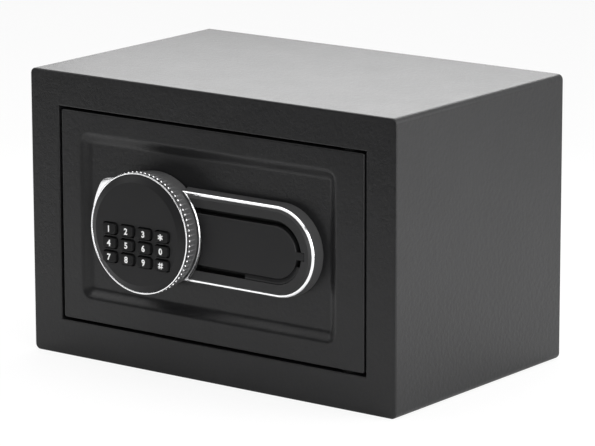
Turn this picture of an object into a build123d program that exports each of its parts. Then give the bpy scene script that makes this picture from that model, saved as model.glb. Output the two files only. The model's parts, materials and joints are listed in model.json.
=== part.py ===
from build123d import *
import os
from math import acos, cos, pi, radians, sin, tan

os.makedirs("parts", exist_ok=True)

# A small electronic safe. Sizes are in millimetres. X runs to the right, Z up, and depths run back
# along +Y from the plane of the front frame. The finished pieces are set back by half the depth,
# so that the origin is the centre of the cabinet's underside.

# Cabinet
width = 310
height = 200
depth = 195
sheet = 2.0
bend_radius = 4.0
front_edge_radius = 1.2
back_edge_radius = 1.0
frame_left = 25
frame_right = 24
frame_bottom = 25
frame_top = 24
jamb_depth = 15
jamb_edge_radius = 0.8
anchor_spacing = 180
anchor_hole_radius = 5
stop_width = 16
stop_reach = 7
mat_thickness = 3
mat_margin = 2.5
mat_corner = 6
mat_hole_radius = 7

# Door
door_gap = 2.0
door_setback = 0.4
door_fold = 12
door_corner = 1.5
door_edge_radius = 0.9
recess_margin_left = 18
recess_margin_right = 24
recess_margin_bottom = 17.5
recess_margin_top = 15.5
recess_depth = 4.0
recess_run = 5.5
recess_corner = 5
recess_lip_radius = 3.0
recess_foot_radius = 1.6

# Concealed hinge at the right
hinge_inset = 15
hinge_behind_face = 7
pin_radius = 2.5
pin_length = 20
pin_head_radius = 4
pin_head = 1.6
bush_radius = 4.2
bush_length = 16
collar_radius = 5.5
collar_play = 0.1
turning_play = 0.06
bracket_thickness = 2.0
bracket_leaf = 18

# Lock plate and bolt work
plate_thickness = 2.0
plate_inset = 2.0
fit_play = 0.05
bolt_radius = 8
bolt_spacing = 80
bolt_length = 42
bolt_inside_edge = 2
bolt_jamb_gap = 2
bolt_throw = 13.2
tenon_radius = 4.5
tenon_length = 5
web_gap = 2.0
web_thickness = 2.5
web_right = -10
web_overhang = 12.5
flange_thickness = 3
flange_height = 20
guide_distance = 12
guide_thickness = 3
guide_play = 0.1
stud_radius = 3
stud_head_radius = 5
stud_play = 0.08
stud_spacing_x = 40
stud_spacing_z = 61

# Dial and its gear
dial_x = -45.6
dial_stand = 17.7
rim_radius = 41.8
rim_inner_radius = 40.4
rim_thickness = 1.8
neck_radius = 40.9
neck_inner_radius = 38.4
neck_length = 2.8
bead_count = 72
bead_radius = 0.75
bead_ring_radius = 41.3
bead_setback = 3.5
side_front_radius = 40.6
side_back_radius = 39.6
side_wall = 2.4
ledge_width = 2.4
ledge_depth = 1.6
dial_floor = 2.2
dial_floor_gap = 0.8
flute_floor = 1.1
flute_depth = 0.75
flute_length = 6.5
nib_start = 118
nib_end = 164
nib_thickness = 3.8
face_stand = 2.4
face_plateau_radius = 35.5
face_flange = 1.6
face_thickness = 3.0
spindle_radius = 6.0
spindle_bore = 3.5
spindle_flange_radius = 12
spindle_flange = 2.0
spindle_bush_radius = 9
spindle_bush_flange_radius = 12
spindle_bush_flange = 1.2
gear_module = 1.5
gear_teeth = 14
gear_addendum = 1.2
gear_dedendum = 1.5
gear_thickness = 3.0
gear_backlash = 0.16
pressure_angle = 20
clip_radius = 8.5
clip_thickness = 1.2

# Keypad
key_names = ["1", "2", "3", "star", "4", "5", "6", "0", "7", "8", "9", "hash"]
key_columns = 4
key_pitch_x = 15.0
key_pitch_z = 9.8
key_first_row = 1.4
key_width = 11.2
key_height = 7.0
key_gap = 0.9
key_stand = 2.1
key_corner = 1.7
key_edge = 0.5
key_flange_width = 14.2
key_flange_height = 9.2
key_flange = 1.0
key_flange_play = 0.4
key_stem_width = 3.6
key_stem = 0.4
key_travel = 0.8
key_dome_gap = 0.9
dome_radius = 3.0
dome_height = 1.5
keypad_board_thickness = 1.6

# Escutcheon beside the dial
escutcheon_half = 31.8
escutcheon_end_x = 61.4
escutcheon_stand = 5.0
escutcheon_draft = 0.8
dial_clearance = 40.8
bezel_width = 1.8
bezel_thickness = 1.3
panel_rise = 1.6
panel_bevel = 1.6
pocket_inset = 10.0
pocket_depth = 5.1
groove_width = 4.0
cover_thickness = 2.0
cover_skirt = 1.2
cover_play = 0.3
lip_left = 36.0
lip_below_axis = 7.6
lip_dip = 0.9
tab_half = 2.6
tab_reach = 2.2
escutcheon_wall = 3.0
escutcheon_floor = 2.4

# Key override lock under the loose cover
override_x = 28
barrel_radius = 8
barrel_head_radius = 9.5
barrel_head = 1.8
plug_radius = 5
plug_play = 0.06
keyway_width = 1.6
keyway_height = 7
keyway_depth = 3
nut_across_flats = 22
nut_thickness = 3
cam_reach = 13
cam_thickness = 2.4
cam_width = 7

# Solenoid that blocks the bolt work
solenoid_x = 2
solenoid_width = 18
solenoid_height = 24
solenoid_wall = 1.5
coil_radius = 7.0
core_radius = 3.4
core_play = 0.2
plunger_radius = 2.0
plunger_travel = 4.8
plunger_tip_above_lug = 0.8
collar_above_tip = 6.2
plunger_collar = 1.0
plunger_collar_radius = 5.0
spring_length = 5.5
spring_wire = 0.8
spring_radius = 4.2
spring_turns = 4
lug_width = 8
lug_gap = 0.6
lug_depth = 7.5
lug_height = 11
tail_height = 10
tail_below_axis = 6.5

# Inner cover, electronics and batteries
cover_left_margin = 8
cover_right_margin = 22
cover_bottom_margin = 8
cover_top_margin = 8
cover_depth = 46
cover_wall = 1.2
cover_corner = 3
post_radius = 3
board_width = 50
board_height = 36
board_left = 36
board_bottom = 53
board_thickness = 1.6
standoff = 4.0
standoff_radius = 2.5
buzzer_radius = 6
buzzer_height = 7
cell_radius = 7.1
cell_length = 49.2
cell_nub_radius = 2.75
cell_nub = 1.3
cell_count = 4
cell_pitch = 15.2
holder_wall = 1.5
holder_left = 42
holder_bottom = 97
holder_depth = 18.8
contact_radius = 3.2
contact_thickness = 1.1
lid_overlap = 2
lid_thickness = 1.2
lid_play = 0.4
lid_air = 0.1
lid_grip_radius = 9
reset_x = 18
reset_above_axis = 20
reset_radius = 4
reset_stand = 1.6
reset_flange_radius = 5.4
reset_play = 0.15
switch_size = 14
switch_depth = 9

# Places worked out from the sizes above
opening_left = -width / 2 + frame_left
opening_right = width / 2 - frame_right
opening_bottom = frame_bottom
opening_top = height - frame_top
door_left = opening_left + door_gap
door_right = opening_right - door_gap
door_bottom = opening_bottom + door_gap
door_top = opening_top - door_gap
lock_z = (door_bottom + door_top) / 2
fold_back = door_setback + door_fold
skin_back = door_setback + sheet
recess_left = door_left + recess_margin_left
recess_right = door_right - recess_margin_right
recess_bottom = door_bottom + recess_margin_bottom
recess_top = door_top - recess_margin_top
recess_face = door_setback + recess_depth
recess_back = recess_face + sheet
plate_back = recess_back + plate_thickness
hinge_x = door_right - hinge_inset
hinge_y = door_setback + hinge_behind_face
web_front = plate_back + web_gap
web_back = web_front + web_thickness
bolt_y = jamb_depth + bolt_jamb_gap + bolt_radius
bolt_tip = door_left + bolt_inside_edge
bolt_end = bolt_tip + bolt_length
guide_x = bolt_tip + guide_distance
bolt_heights = [lock_z - bolt_spacing / 2, lock_z + bolt_spacing / 2]
pitch_radius = gear_module * gear_teeth / 2
tooth_pitch = pi * gear_module
dial_turn = bolt_throw / pitch_radius
rim_face = -dial_stand
neck_back = rim_face + rim_thickness + neck_length
face_front = rim_face - face_stand
face_back = face_front + face_thickness
dial_back = recess_face - dial_floor_gap
board_seat = neck_back + ledge_depth + 0.2
key_front = face_front - key_stand
key_flange_front = face_back + key_flange_play
key_flange_back = key_flange_front + key_flange
dome_front = key_flange_back + key_stem + key_dome_gap
dome_back = dome_front + dome_height
keypad_board_back = dome_back + keypad_board_thickness
bezel_face = -escutcheon_stand
panel_face = bezel_face - panel_rise
pocket_floor = panel_face + pocket_depth
barrel_face = pocket_floor - barrel_head
lug_left = solenoid_x + plunger_radius + lug_gap
lug_right = lug_left + lug_width
tail_bottom = lock_z - tail_below_axis
lug_top = tail_bottom + tail_height + 4.5
plunger_y = web_back + lug_depth / 2 + 0.75
plunger_tip = lug_top + plunger_tip_above_lug
collar_bottom = plunger_tip + collar_above_tip
spring_bottom = collar_bottom + plunger_collar
coil_bottom = spring_bottom + spring_length
cover_left = door_left + cover_left_margin
cover_right = door_right - cover_right_margin
cover_bottom = door_bottom + cover_bottom_margin
cover_top = door_top - cover_top_margin
cover_inner_back = cover_depth - cover_wall
holder_right = holder_left + cell_length + cell_nub + 2 * (contact_thickness + holder_wall) + 0.3
holder_top = holder_bottom + cell_count * cell_pitch + 2 * holder_wall
holder_front = cover_inner_back - holder_depth
post_places = [(guide_x + 13, lock_z), (24, lock_z - 40), (24, lock_z + 42), (93, lock_z - 40)]


def block(x0, x1, y0, y1, z0, z1):
    """A block between six planes."""
    return Pos((x0 + x1) / 2, (y0 + y1) / 2, (z0 + z1) / 2) * Box(x1 - x0, y1 - y0, z1 - z0)


def rod_x(y, z, x0, x1, radius):
    """A round rod along X."""
    return Pos((x0 + x1) / 2, y, z) * Rot(0, 90, 0) * Cylinder(radius, x1 - x0)


def rod_y(x, z, y0, y1, radius):
    """A round rod along Y."""
    return Pos(x, (y0 + y1) / 2, z) * Rot(90, 0, 0) * Cylinder(radius, y1 - y0)


def rod_z(x, y, z0, z1, radius):
    """A round rod along Z."""
    return Pos(x, y, (z0 + z1) / 2) * Cylinder(radius, z1 - z0)


def front_plane(y):
    """A drawing plane across the safe: its x is X, its y is Z, and it looks out of the front."""
    return Plane(origin=(0, y, 0), x_dir=(1, 0, 0), z_dir=(0, -1, 0))


def slab(outline, y0, y1):
    """An outline drawn in X and Z, made solid from depth y0 back to y1."""
    return extrude(front_plane(y0) * outline, amount=y0 - y1)


def turned(points, x, z, seam=0):
    """A body turned about a Y axis at x and z, from pairs of radius and depth."""
    return Pos(x, 0, z) * Rot(0, seam, 0) * revolve(make_face(Polyline(*points, close=True)), Axis.Y, 360)


def frame_outline(x0, x1, z0, z1, radius):
    """A rectangle with rounded corners between four edges."""
    return Pos((x0 + x1) / 2, (z0 + z1) / 2) * RectangleRounded(x1 - x0, z1 - z0, radius)


def polar(radius, degrees_up):
    """A point at a radius and an angle, as seen from the front."""
    return radius * cos(radians(degrees_up)), radius * sin(radians(degrees_up))


def cabinet_block():
    """The outside of the cabinet: bends along its length and small radii round the front and back."""
    outer = block(-width / 2, width / 2, 0, depth, 0, height)
    outer = fillet(outer.edges().filter_by(Axis.Y), bend_radius)
    outer = fillet(outer.faces().sort_by(Axis.Y)[0].edges(), front_edge_radius)
    return fillet(outer.faces().sort_by(Axis.Y)[-1].edges(), back_edge_radius)


def cabinet_wrap():
    """The sheet folded into a box without ends, with the anchor holes in its floor."""
    inside = frame_outline(-width / 2 + sheet, width / 2 - sheet, sheet, height - sheet, bend_radius - sheet)
    wrap = cabinet_block() - slab(inside, 0, depth + 1) - block(-width, width, -1, sheet, -1, height + 1)
    for side in (-1, 1):
        wrap -= rod_z(side * anchor_spacing / 2, depth / 2, -1, sheet + 1, anchor_hole_radius)
    return wrap


def front_frame():
    """The front sheet, welded to the wrap, with the flange that lines the door opening."""
    frame = cabinet_block() & block(-width, width, -1, sheet, -1, height + 1)
    frame += block(opening_left - sheet, opening_right + sheet, 0, jamb_depth,
                   opening_bottom - sheet, opening_top + sheet)
    frame -= block(opening_left, opening_right, -1, jamb_depth + 1, opening_bottom, opening_top)
    mouth = [e for e in frame.edges() if abs(e.center().Y) < 0.01
             and abs(e.center().X) < opening_right + 1 and opening_bottom - 1 < e.center().Z < opening_top + 1]
    frame = fillet(mouth, jamb_edge_radius)
    return frame - rod_z(hinge_x, hinge_y, sheet, height - sheet, pin_radius + fit_play)


def back_panel():
    """The back sheet, set inside the wrap, with the wall anchor holes."""
    panel = slab(frame_outline(-width / 2 + sheet, width / 2 - sheet, sheet, height - sheet,
                               bend_radius - sheet), depth - sheet, depth)
    for side in (-1, 1):
        panel -= rod_y(side * anchor_spacing / 2, height / 2, depth - 2 * sheet, depth + 1, anchor_hole_radius)
    return panel


def door_stops():
    """Tabs on the opening's flange that the folded edge of the door shuts against."""
    tabs = []
    for x in (opening_left + 45, opening_right - 71):
        tabs.append(block(x, x + stop_width, jamb_depth - sheet, jamb_depth,
                          opening_top - stop_reach, opening_top))
        tabs.append(block(x, x + stop_width, jamb_depth - sheet, jamb_depth,
                          opening_bottom, opening_bottom + stop_reach))
    return tabs


def floor_mat():
    """The felt mat that lies on the cabinet's floor."""
    side = width / 2 - sheet - mat_margin
    outline = Pos(0, depth / 2) * RectangleRounded(2 * side, depth - 2 * sheet - 2 * mat_margin, mat_corner)
    mat = Pos(0, 0, sheet) * extrude(outline, amount=mat_thickness)
    for end in (-1, 1):
        mat -= rod_z(end * anchor_spacing / 2, depth / 2, 0, 3 * sheet + mat_thickness, mat_hole_radius)
    return mat


def mirrored_in_height(shape):
    """The same piece at the bottom of the door."""
    return mirror(shape, Plane(origin=(0, 0, lock_z), z_dir=(0, 0, 1)))


def hinge_pin():
    """The upper hinge pin, headed on top of the opening's flange."""
    seat = opening_top + sheet
    pin = rod_z(hinge_x, hinge_y, seat - pin_length, seat, pin_radius)
    pin = chamfer(pin.faces().sort_by(Axis.Z)[0].edges(), 0.6)
    return pin + rod_z(hinge_x, hinge_y, seat, seat + pin_head, pin_head_radius)


def hinge_bush():
    """The upper hinge bush, whose collar keeps the door clear of the opening."""
    bush = rod_z(hinge_x, hinge_y, door_top - bush_length, door_top, bush_radius)
    bush += rod_z(hinge_x, hinge_y, door_top, opening_top - collar_play, collar_radius)
    return bush - rod_z(hinge_x, hinge_y, 0, height, pin_radius + turning_play)


def hinge_brackets():
    """Angle brackets behind the door that carry the inner ends of the bushes."""
    seat = door_top - bush_length
    left = cover_right + 1
    right = door_right - sheet - 6
    shelf = block(left, right, skin_back, hinge_y + bush_radius + 2, seat, seat + bracket_thickness)
    leaf = block(left, right, skin_back, skin_back + bracket_thickness, seat - bracket_leaf, seat)
    shelf -= rod_z(hinge_x, hinge_y, seat - 1, seat + bracket_thickness + 1, bush_radius + fit_play)
    bracket = shelf + leaf
    return [bracket, mirrored_in_height(bracket)]


def recess_pan(y):
    """The pressed pan of the door as a solid, its wide side at depth y."""
    lip = front_plane(y) * frame_outline(recess_left, recess_right, recess_bottom, recess_top, recess_corner)
    foot = front_plane(y + recess_depth) * frame_outline(
        recess_left + recess_run, recess_right - recess_run, recess_bottom + recess_run,
        recess_top - recess_run, recess_corner - 2)
    return loft([lip, foot], ruled=True)


def door_panel():
    """The door skin: a folded sheet with a pressed recess for the lock."""
    skin = block(door_left, door_right, door_setback, fold_back, door_bottom, door_top)
    skin = fillet(skin.edges().filter_by(Axis.Y), door_corner)
    skin = fillet(skin.faces().sort_by(Axis.Y)[0].edges(), door_edge_radius)
    skin -= block(door_left + sheet, door_right - sheet, skin_back, fold_back + 1,
                  door_bottom + sheet, door_top - sheet)
    skin = skin + recess_pan(skin_back) - recess_pan(door_setback)
    lip = [e for e in skin.edges() if abs(e.center().Y - door_setback) < 0.01
           and recess_left - 1 < e.center().X < recess_right + 1
           and recess_bottom - 1 < e.center().Z < recess_top + 1]
    skin = fillet(lip, recess_lip_radius)
    foot = [e for e in skin.edges() if abs(e.center().Y - recess_face) < 0.01]
    skin = fillet(foot, recess_foot_radius)
    skin -= rod_y(dial_x, lock_z, 0, plate_back, spindle_bush_radius + fit_play)
    skin -= rod_y(override_x, lock_z, 0, plate_back, barrel_radius + fit_play)
    return skin - rod_z(hinge_x, hinge_y, 0, height, bush_radius + fit_play)


def lock_plate():
    """The flat plate behind the recess that carries the lock."""
    plate = slab(frame_outline(recess_left + recess_run + 0.2, recess_right - recess_run - plate_inset,
                               recess_bottom + recess_run + plate_inset,
                               recess_top - recess_run - plate_inset, 4), recess_back, plate_back)
    plate -= rod_y(dial_x, lock_z, 0, plate_back + 1, spindle_bush_radius + fit_play)
    return plate - rod_y(override_x, lock_z, 0, plate_back + 1, barrel_radius + fit_play)


def bolt(z):
    """A round locking bolt with a bevelled nose and a riveted tenon."""
    body = rod_x(bolt_y, z, bolt_tip, bolt_end, bolt_radius)
    body = chamfer(body.faces().sort_by(Axis.X)[0].edges(), 1.5)
    return body + rod_x(bolt_y, z, bolt_end, bolt_end + tenon_length, tenon_radius)


def bolt_guide():
    """The angle that the two bolts slide through, welded inside the door."""
    low = bolt_heights[0] - web_overhang
    high = bolt_heights[1] + web_overhang
    wall = slab(Pos(guide_x + guide_thickness / 2, lock_z) * RectangleRounded(
        guide_thickness, high - low, 1.0), skin_back, bolt_y + bolt_radius + 3)
    foot = block(cover_left + cover_wall + 0.2, guide_x, skin_back, skin_back + sheet, low + 2, high - 2)
    guide = wall + foot
    for z in bolt_heights:
        guide -= rod_x(bolt_y, z, guide_x - 1, guide_x + guide_thickness + 1, bolt_radius + guide_play)
    return guide


def rack_teeth():
    """The rack along the lower edge of the carrier's window, in X and Z."""
    slope = tan(radians(pressure_angle))
    pitch_line = lock_z - pitch_radius - fit_play
    half = tooth_pitch / 4 - gear_backlash / 2
    top = gear_addendum
    low = -gear_dedendum - 0.1
    teeth = []
    for step in range(-2, 5):
        x = dial_x + (step + 0.5) * tooth_pitch
        teeth.append(make_face(Polyline(
            (x - half + low * slope, pitch_line + low), (x + half - low * slope, pitch_line + low),
            (x + half - top * slope, pitch_line + top), (x - half + top * slope, pitch_line + top),
            close=True)))
    return teeth


def bolt_carrier():
    """The sliding plate that joins both bolts, with a toothed window and a blocking lug."""
    left = bolt_end
    low = bolt_heights[0] - web_overhang
    high = bolt_heights[1] + web_overhang
    outline = frame_outline(left, web_right, low, high, 3)
    outline += frame_outline(web_right - 8, lug_right, tail_bottom, tail_bottom + tail_height, 2)
    clear = pitch_radius + gear_addendum + 1.5
    floor_line = lock_z - pitch_radius - gear_dedendum - fit_play
    outline -= frame_outline(dial_x - clear, dial_x + clear + bolt_throw, floor_line, lock_z + clear, 1)
    for x, z in stud_places():
        slot_end = x + bolt_throw
        reach = stud_radius + stud_play
        outline -= frame_outline(x - reach - 0.5, slot_end + reach + 0.5, z - reach, z + reach, reach - 0.01)
    for tooth in rack_teeth():
        outline += tooth
    carrier = slab(outline, web_front, web_back)
    for z in bolt_heights:
        carrier += block(left, left + flange_thickness, web_front, bolt_y + bolt_radius,
                         z - flange_height / 2, z + flange_height / 2)
        carrier -= rod_x(bolt_y, z, left - 1, left + flange_thickness + 1, tenon_radius + fit_play)
    return carrier + block(lug_left, lug_right, web_back, web_back + lug_depth, lug_top - lug_height, lug_top)


def stud_places():
    """Where the carrier's guide studs stand, in X and Z."""
    first = bolt_end + 10
    places = []
    for x in (first, first + stud_spacing_x):
        for z in (lock_z - stud_spacing_z / 2, lock_z + stud_spacing_z / 2):
            places.append((x, z))
    return places


def guide_studs():
    """Shouldered studs that the carrier slides on."""
    studs = []
    for x, z in stud_places():
        foot = rod_y(x, z, plate_back, web_front - 0.2, stud_head_radius)
        shank = rod_y(x, z, web_front - 0.2, web_back + 0.3, stud_radius)
        head = rod_y(x, z, web_back + 0.3, web_back + 2, stud_head_radius)
        studs.append(foot + shank + head)
    return studs


def dial_ring():
    """The bright ring at the front of the dial, with its row of beads and its pointer."""
    ledge = rim_face + rim_thickness + 0.2
    ring = turned([(rim_inner_radius, rim_face), (rim_radius - 0.5, rim_face), (rim_radius, rim_face + 0.5),
                   (rim_radius, rim_face + rim_thickness), (neck_radius, rim_face + rim_thickness + 0.4),
                   (neck_radius, neck_back), (neck_inner_radius, neck_back), (neck_inner_radius, ledge),
                   (rim_inner_radius, ledge)], dial_x, lock_z, 180 / bead_count)
    angles = [step * 360 / bead_count for step in range(bead_count)]
    beads = [Pos(dial_x, rim_face + bead_setback, lock_z) * Rot(0, -angle, 0) * bead()
             for angle in angles if not nib_start < angle < nib_end]
    return ring + beads + pointer_nib()


def bead():
    """One bead at the right of the ring: an eight-sided stud with a bevelled crown."""
    root = neck_radius - 0.6
    waist = bead_ring_radius
    crown = bead_ring_radius + 0.85 * bead_radius
    sections = []
    for x, radius in ((root, bead_radius), (waist, bead_radius), (crown, 0.5 * bead_radius)):
        sections.append(Plane(origin=(x, 0, 0), x_dir=(0, 1, 0), z_dir=(1, 0, 0)) * RegularPolygon(radius, 8))
    return loft(sections, ruled=True)


def pointer_nib():
    """The pointer on the ring: a swelling that rises slowly and ends in a rounded nose."""
    crest = [(rim_radius, nib_end), (42.5, 155), (43.7, 146.6), (45.3, 137.5), (45.7, 133), (44.9, 129.5),
             (42.6, 124.5), (rim_radius, nib_start)]
    points = [polar(radius, angle) for radius, angle in crest]
    inner = [polar(rim_inner_radius + 0.2, angle) for angle in (nib_start, (nib_start + nib_end) / 2, nib_end)]
    outline = make_face([Spline(*points), Line(points[-1], inner[0]), ThreePointArc(*inner),
                         Line(inner[-1], points[0])])
    return slab(Pos(dial_x, lock_z) * outline, rim_face, rim_face + nib_thickness)


def dial_body():
    """The cup of the dial: a tapered skirt with fine flutes behind the beads."""
    taper = (side_front_radius - side_back_radius) / (dial_back - neck_back)
    floor_front = dial_back - dial_floor
    inner = side_back_radius - side_wall
    ledge = inner - ledge_width + 1
    body = turned([(0, dial_back), (side_back_radius - 0.6, dial_back), (side_back_radius, dial_back - 0.6),
                   (side_front_radius, neck_back), (inner + 0.6, neck_back), (inner + 0.6, keypad_board_back),
                   (ledge, keypad_board_back), (ledge, keypad_board_back + 1.5),
                   (inner, keypad_board_back + 3.5), (inner, floor_front), (0, floor_front)], dial_x, lock_z)
    run_out = side_front_radius - taper * flute_length + 0.05
    flute = loft([front_plane(neck_back) * flute_outline(side_front_radius - flute_depth),
                  front_plane(neck_back + flute_length) * flute_outline(run_out)], ruled=True)
    body -= [Pos(dial_x, 0, lock_z) * Rot(0, (step + 0.5) * 360 / bead_count, 0) * flute
             for step in range(bead_count)]
    return body - rod_y(dial_x, lock_z, floor_front - 1, dial_back + 1, spindle_radius + fit_play)


def flute_outline(floor):
    """A flute's section at the right of the dial, its floor at a distance from the dial's axis."""
    top = side_front_radius + 1
    half = flute_floor / 2
    wide = half + 0.9 * (top - floor)
    return make_face(Polyline((floor, -half), (floor, half), (top, wide), (top, -wide), close=True))


def key_places():
    """The name and the centre of each key, in X and Z."""
    places = []
    for index, name in enumerate(key_names):
        row, column = divmod(index, key_columns)
        x = dial_x + (column - (key_columns - 1) / 2) * key_pitch_x
        places.append((name, x, lock_z + key_first_row - row * key_pitch_z))
    return places


def keypad_face():
    """The dished black face of the dial, with an opening for each key."""
    edge = rim_inner_radius - 0.1
    seat = rim_face + rim_thickness + 0.2
    face = turned([(0, face_front), (face_plateau_radius, face_front), (edge, rim_face + 0.1), (edge, seat),
                   (neck_inner_radius + 0.2, seat), (neck_inner_radius + 0.2, face_back), (0, face_back)],
                  dial_x, lock_z)
    for _, x, z in key_places():
        hole = Pos(x, z) * RectangleRounded(key_width + 2 * key_gap, key_height + 2 * key_gap, key_corner + 0.7)
        face -= slab(hole, face_front - 1, face_back + 1)
    return face


def key(x, z):
    """One key: a cap with bevelled edges on a wider flange that keeps it behind the face."""
    cap = slab(Pos(x, z) * RectangleRounded(key_width, key_height, key_corner), key_front, key_flange_front)
    cap = chamfer(cap.faces().sort_by(Axis.Y)[0].edges(), key_edge)
    flange = slab(Pos(x, z) * Rectangle(key_flange_width, key_flange_height), key_flange_front, key_flange_back)
    stem = slab(Pos(x, z) * Rectangle(key_stem_width, key_stem_width), key_flange_back, key_flange_back + key_stem)
    return cap + flange + stem


def dome_switches():
    """Snap domes on the keypad's board, one behind each key."""
    domes = []
    for _, x, z in key_places():
        domes.append(Pos(x, (dome_front + dome_back) / 2, z) * Rot(90, 0, 0) * Cone(
            dome_radius, 0.6 * dome_radius, dome_height))
    return domes


def keypad_board():
    """The round circuit board behind the keys."""
    radius = side_back_radius - side_wall + 0.4
    board = rod_y(dial_x, lock_z, dome_back, keypad_board_back, radius)
    return board - rod_y(dial_x, lock_z + radius - 9, dome_back - 1, keypad_board_back + 1, spindle_bore)


def dial_spindle():
    """The hollow spindle that carries the dial and lets its wires through."""
    seat = dial_back - dial_floor
    end = web_front + gear_thickness + clip_thickness + 1.6
    spindle = rod_y(dial_x, lock_z, seat - spindle_flange, end, spindle_radius)
    spindle += rod_y(dial_x, lock_z, seat - spindle_flange, seat, spindle_flange_radius)
    return spindle - rod_y(dial_x, lock_z, seat - spindle_flange - 1, end + 1, spindle_bore)


def spindle_bush():
    """The flanged bearing of the spindle, pressed through the door and the lock plate."""
    bush = rod_y(dial_x, lock_z, recess_face, plate_back, spindle_bush_radius)
    bush += rod_y(dial_x, lock_z, plate_back, plate_back + spindle_bush_flange, spindle_bush_flange_radius)
    return bush - rod_y(dial_x, lock_z, 0, plate_back + 3, spindle_radius + turning_play)


def spindle_clip():
    """The open clip that keeps the pinion on the spindle."""
    front = web_front + gear_thickness
    clip = rod_y(dial_x, lock_z, front, front + clip_thickness, clip_radius)
    clip -= rod_y(dial_x, lock_z, front - 1, front + 2, spindle_radius + fit_play)
    return clip - block(dial_x - 3, dial_x + 3, front - 1, front + 2, lock_z, lock_z + clip_radius + 1)


def pinion_outline():
    """The pinion's teeth, with involute flanks, about the dial's centre in X and Z."""
    base_radius = pitch_radius * cos(radians(pressure_angle))
    root_radius = pitch_radius - gear_dedendum
    tip_radius = pitch_radius + gear_addendum
    rolled = tan(radians(pressure_angle)) - radians(pressure_angle)
    half_at_pitch = pi / (2 * gear_teeth) - gear_backlash / (2 * pitch_radius)

    def half_angle(radius):
        contact = acos(base_radius / radius)
        return half_at_pitch + rolled - (tan(contact) - contact)

    radii = [base_radius + (tip_radius - base_radius) * part / 4 for part in range(5)]
    right = [polar(radius, -90 + half_angle(radius) * 180 / pi) for radius in radii]
    left = [(-x, z) for x, z in right]
    deep = root_radius - 0.3
    foot_right = polar(deep, -90 + half_angle(base_radius) * 180 / pi)
    foot_left = (-foot_right[0], foot_right[1])
    tooth = make_face([Line(foot_right, right[0]), Spline(*right), Line(right[-1], left[-1]),
                       Spline(*left[::-1]), Line(left[0], foot_left), Line(foot_left, foot_right)])
    outline = Circle(root_radius)
    for step in range(gear_teeth):
        outline += Rot(0, 0, step * 360 / gear_teeth) * tooth
    return outline


def pinion():
    """The toothed wheel on the spindle that drives the bolt carrier."""
    wheel = slab(Pos(dial_x, lock_z) * pinion_outline(), web_front, web_front + gear_thickness)
    return wheel - rod_y(dial_x, lock_z, web_front - 1, web_front + gear_thickness + 1, spindle_radius)


def escutcheon_outline(inset):
    """The rounded oblong beside the dial, drawn in all round by an inset, in X and Z."""
    half = escutcheon_half - inset
    outline = Pos((dial_x + escutcheon_end_x) / 2, lock_z) * Rectangle(escutcheon_end_x - dial_x, 2 * half)
    outline += Pos(escutcheon_end_x, lock_z) * Circle(half)
    return outline - Pos(dial_x, lock_z) * Circle(dial_clearance + inset)


def pocket_outline(play, end_play):
    """The pocket for the loose cover, drawn in by one play round it and another at the dial's end."""
    half = escutcheon_half - pocket_inset - play
    left_radius = dial_clearance + escutcheon_draft + bezel_width + panel_bevel + end_play
    outline = Pos((dial_x + escutcheon_end_x) / 2, lock_z) * Rectangle(escutcheon_end_x - dial_x, 2 * half)
    outline += Pos(escutcheon_end_x, lock_z) * Circle(half)
    return outline - Pos(dial_x, lock_z) * Circle(left_radius)


def tab_outline(play):
    """The finger tab that bridges the groove at the cover's far end."""
    left = escutcheon_end_x + escutcheon_half - pocket_inset - groove_width - 2
    right = escutcheon_end_x + escutcheon_half - pocket_inset + tab_reach
    return frame_outline(left, right - play, lock_z - tab_half + play, lock_z + tab_half - play, 0.8)


def escutcheon():
    """The black housing beside the dial, with a bevelled panel and a pocket over the keyway."""
    foot = front_plane(recess_face) * escutcheon_outline(0)
    brow = front_plane(bezel_face) * escutcheon_outline(escutcheon_draft)
    body = loft([foot, brow], ruled=True)
    inner = escutcheon_draft + bezel_width
    panel_foot = front_plane(bezel_face) * escutcheon_outline(inner)
    panel_brow = front_plane(panel_face) * escutcheon_outline(inner + panel_bevel)
    body += loft([panel_foot, panel_brow], ruled=True)
    rebate = escutcheon_outline(-1) - escutcheon_outline(inner)
    body -= slab(rebate, bezel_face - 1, bezel_face + bezel_thickness)
    body -= slab(pocket_outline(0, 0), panel_face - 1, pocket_floor)
    body -= slab(tab_outline(-cover_play), panel_face - 1, panel_face + cover_thickness + 0.5)
    hollow = escutcheon_outline(escutcheon_wall + escutcheon_draft) - Pos(override_x, lock_z) * Circle(
        barrel_radius + escutcheon_wall)
    body -= slab(hollow, pocket_floor + escutcheon_floor, recess_face + 1)
    return body - rod_y(override_x, lock_z, -20, 20, barrel_radius + fit_play)


def escutcheon_bezel():
    """The bright closed line round the front edge of the housing."""
    inner = escutcheon_draft + bezel_width
    line = slab(escutcheon_outline(escutcheon_draft), bezel_face, bezel_face + bezel_thickness)
    line = chamfer(line.faces().sort_by(Axis.Y)[0].edges(), 0.35)
    return line - slab(escutcheon_outline(inner), bezel_face - 1, bezel_face + bezel_thickness + 1)


def keyway_cover():
    """The loose cover in the housing's pocket, with a skirt behind and a finger tab."""
    outline = pocket_outline(groove_width, cover_play)
    cover = slab(outline, panel_face, panel_face + cover_thickness)
    cover = chamfer(cover.faces().sort_by(Axis.Y)[0].edges(), 0.4)
    cover += slab(tab_outline(0), panel_face, panel_face + cover_thickness)
    skirt = outline - pocket_outline(groove_width + cover_skirt, cover_play + cover_skirt)
    cover += slab(skirt, panel_face + cover_thickness, pocket_floor - lid_air)
    return cover + cover_lip()


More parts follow.
